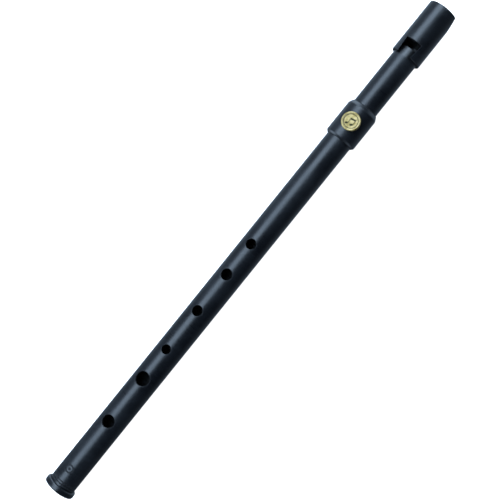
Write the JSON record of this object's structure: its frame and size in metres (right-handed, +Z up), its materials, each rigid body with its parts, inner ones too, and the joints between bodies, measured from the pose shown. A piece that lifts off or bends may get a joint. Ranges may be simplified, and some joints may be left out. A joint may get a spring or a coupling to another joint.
{
  "type": "tin whistle",
  "caption": "Straight end-blown whistle with finger holes, a ring foot, a slotted beak mouthpiece, and a head that slides and turns in a collar to tune it.",
  "frame": {"origin": "on the surface the whistle lies on, under the middle of its length, in the plane through its finger holes", "axes": "+X along the bore from the foot to the mouthpiece, +Z up through the finger holes and the window, +Y to the left of that"},
  "size_m": [0.293, 0.0162, 0.0171],
  "materials": {
    "body_plastic": "satin black",
    "foot_ring_plastic": "satin black, turned",
    "collar_plastic": "satin black, turned",
    "badge_metal": "pale gilt, satin",
    "seal_rubber": "matt black",
    "head_plastic": "satin black",
    "plug_plastic": "matt black",
    "cap_plastic": "satin black"
  },
  "bodies": {
    "body": {"body_tube": "body_plastic", "foot_ring": "foot_ring_plastic", "socket_collar": "collar_plastic", "badge": "badge_metal"},
    "seal": {"tenon_ring_lower": "seal_rubber", "tenon_ring_upper": "seal_rubber"},
    "head": {"head_tube": "head_plastic", "fipple_plug": "plug_plastic", "mouthpiece_cap": "cap_plastic"}
  },
  "joints": [
    {"name": "tuning_slide", "type": "slide", "parent": "body", "child": "seal", "axis": [1, 0, 0], "range_m": [0, 0.007]},
    {"name": "head_turn", "type": "hinge", "parent": "seal", "child": "head", "pos_m": [0.0765, 0, 0.0081], "axis": [1, 0, 0], "continuous": true}
  ]
}
